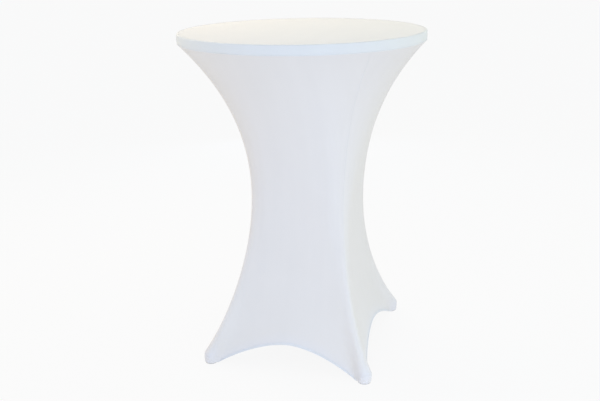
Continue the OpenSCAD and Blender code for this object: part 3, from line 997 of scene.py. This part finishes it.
top = put(top_cloth(), CLOTH, "table", "stretch_cloth", "top_panel")
rim = put(rim_cloth(), RIM_COOL_LIT, "table", "stretch_cloth", "rim_band")
top_seam = put_thread(seam_cord("top_seam", TABLE_R - RIM_ROUND - 0.0002, TOP_Z + CLOTH_T - 0.0005, 0.0006),
                      "top_rim_seam")
low_seam = put_thread(seam_cord("lower_seam", RIM_R - 0.0004, BOARD_Z - 0.0009, 0.0007), "lower_rim_seam")
top_stitch = put_thread(ring_stitches("top_stitches", TABLE_R - RIM_ROUND - 0.003,
                                      TOP_Z + CLOTH_T + 0.0001, math.pi / 2))
rim_stitch = put_thread(ring_stitches("rim_stitches", RIM_R + 0.0002, BOARD_Z + 0.0022, 0.0))

panels = {}
for side, foot in PANELS.items():
    panel, ends = skirt_panel(side)
    hems, stitches = hem_strip(side), hem_stitches(side)
    put(panel, CLOTH, "table", "stretch_cloth", f"skirt_panel_{side}")
    extras = [put(hems[None], HEM_COOL_LIT, "table", "stretch_cloth", f"hem_{side}"), put_thread(stitches[None])]
    for key in (foot, next_foot(foot)):
        extras += [follow_glide(ends[key], CLOTH),
                   follow_glide(hems[key], HEM_COOL_LIT),
                   follow_glide(stitches[key], THREAD)]
    panels[foot] = (panel, extras)

bags, soles = {}, {}
for foot in FEET:
    tape = put(seam_tape(foot), TAPE, "table", "seam_tape", f"seam_tape_{foot}")
    rows = put_thread(seam_stitches(foot, SEAM_TOP_V, CUT_V[0], f"seam_stitches_{foot}"))
    low_rows = seam_stitches(foot, CUT_V[0], SEAM_LOW_V, f"corner_stitches_{foot}")
    panels[foot][1].extend([tape, rows, follow_glide(low_rows, THREAD)])
    bags[foot] = follow_glide(pocket(foot), CLOTH)
    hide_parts(f"foot_pocket_{foot}")
    soles[foot] = put(sole(foot), SOLE, f"glide_{foot}", "sole_cloth", f"pocket_sole_{foot}")

# ---------------------------------------------------------------- stage, light and camera
FLOOR_HALF = 60
FLOOR_Z = -0.0002                                # just clear of the soles
FLOOR_GREY, FLOOR_GLOW = 0.05, 0.904             # it gives most of its white as light of its own


def in_scene(name, data):
    obj = bpy.data.objects.new(name, data)
    bpy.context.scene.collection.objects.link(obj)
    return obj


def floor():
    """Pale floor without a shadow edge, wide enough to pass for an endless one."""
    h = FLOOR_HALF
    mesh = bpy.data.meshes.new("floor")
    mesh.from_pydata([(-h, -h, 0), (h, -h, 0), (h, h, 0), (-h, h, 0)], [], [(0, 1, 2, 3)])
    obj = in_scene("floor", mesh)
    obj.location.z = FLOOR_Z
    mat, tree, shader, _ = material("floor")
    feed(tree, shader.inputs, {
        "Base Color": (FLOOR_GREY, FLOOR_GREY, FLOOR_GREY), "Roughness": 1.0, "Specular IOR Level": 0.0,
        "Emission Color": (1, 1, 1), "Emission Strength": FLOOR_GLOW})
    dress(obj, mat)


def soft_light(name, place, aim, size, power, colour):
    """A round area lamp at a place, turned to where it aims."""
    data = bpy.data.lights.new(name, "AREA")
    data.shape = "DISK"
    data.size = size
    data.energy = power
    data.color = colour
    obj = in_scene(name, data)
    obj.location = place
    obj.rotation_mode = "QUATERNION"
    obj.rotation_quaternion = (Vector(aim) - Vector(place)).to_track_quat("-Z", "Y")


def studio():
    """White surround, a little dimmer and cooler overhead, and seven soft lamps.

    The ones over the table and at its left are warm; those at the camera and behind are cool.
    """
    scene = bpy.context.scene
    scene.view_settings.view_transform = "Standard"
    scene.world = bpy.data.worlds.new("studio")
    scene.world.use_nodes = True
    tree = scene.world.node_tree
    height = split(tree, node(tree, "ShaderNodeTexCoord").outputs["Generated"])[2]
    colour = ramp(tree, height, [(0.42, (0.956, 0.956, 0.956)), (0.85, (0.792, 0.857, 0.901))])
    tree.links.new(colour, tree.nodes["Background"].inputs[0])
    soft_light("overhead_left", (-1.3, 0.9, 2.4), (0, 0, 1.1), 1.6, 23.6, (1.00, 0.79, 0.54))
    soft_light("overhead_right", (1.3, 0.3, 2.4), (0, 0, 1.1), 1.6, 6.0, (0.94, 1.00, 0.68))
    soft_light("near_camera", (0.67, -2.7, 1.6), (0, 0, 0.7), 1.2, 17.5, (0.35, 0.50, 1.00))
    soft_light("left", (-2.9, -0.6, 0.8), (0, 0, 0.6), 1.6, 10.0, (1.0, 0.68, 0.38))
    soft_light("right_back", (2.0, 2.2, 0.8), (0, 0, 0.6), 1.6, 3.5, (0.8, 0.92, 1.0))
    soft_light("back", (-0.9, 2.8, 0.8), (0, 0, 0.5), 1.6, 9.0, (0.45, 0.68, 1.0))
    soft_light("low_right", (1.2, -1.1, 0.28), (0.22, -0.2, 0.18), 0.5, 3.8, (0.92, 0.99, 1.0))


def camera():
    """The photo's view: a standing camera, a little to the right, looking down at the table."""
    azimuth, distance, height = math.radians(15.56), 2.49, 1.3597
    pan, tilt, roll = -0.00617, -0.32595, -0.01857
    turn = Matrix.Rotation(azimuth, 3, "Z")
    forward = Vector((math.sin(pan) * math.cos(tilt), math.cos(pan) * math.cos(tilt), math.sin(tilt)))
    right = forward.cross(Vector((0, 0, 1))).normalized()
    up = right.cross(forward)
    c, s = math.cos(roll), math.sin(roll)
    right, up = c * right + s * up, c * up - s * right
    data = bpy.data.cameras.new("camera")
    data.lens = 45.38
    data.sensor_width = 36
    obj = in_scene("camera", data)
    axes = Matrix([turn @ right, turn @ up, turn @ -forward]).transposed().to_4x4()
    obj.matrix_world = Matrix.Translation(turn @ Vector((0, -distance, height))) @ axes
    bpy.context.scene.camera = obj


floor()
studio()
camera()
